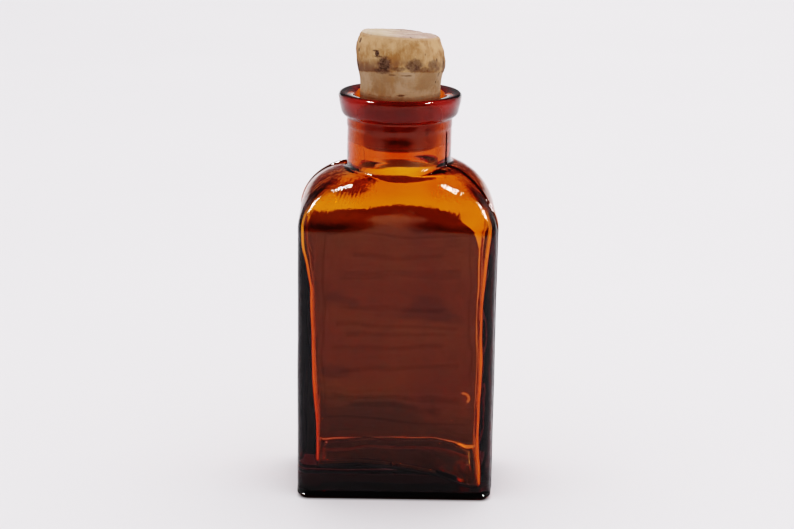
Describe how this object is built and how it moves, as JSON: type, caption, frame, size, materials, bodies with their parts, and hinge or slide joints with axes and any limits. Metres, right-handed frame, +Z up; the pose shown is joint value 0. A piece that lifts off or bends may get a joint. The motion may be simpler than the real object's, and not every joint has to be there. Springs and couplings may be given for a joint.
{
  "type": "corked glass bottle",
  "caption": "Small rectangular amber glass medicine bottle with arched panels, a round lipped neck, a tapered cork stopper that pulls out, and a plain paper label on the back.",
  "frame": {"origin": "middle of the base, on the surface the bottle stands on", "axes": "+Z up along the neck and the cork, X across the wide panels, the front panel faces -Y and the label is on the panel that faces +Y"},
  "size_m": [0.0436, 0.0275, 0.1028],
  "materials": {
    "amber_glass": "glossy transparent amber, moulded",
    "cork": "matt natural cork with dark pores",
    "aged_paper": "matt, yellowed"
  },
  "bodies": {
    "bottle": {"glass_bottle": "amber_glass", "back_label": "aged_paper"},
    "stopper": {"cork_stopper": "cork"}
  },
  "joints": [
    {"name": "cork_pull", "type": "slide", "parent": "bottle", "child": "stopper", "axis": [0, 0, 1], "range_m": [0, 0.04]}
  ]
}
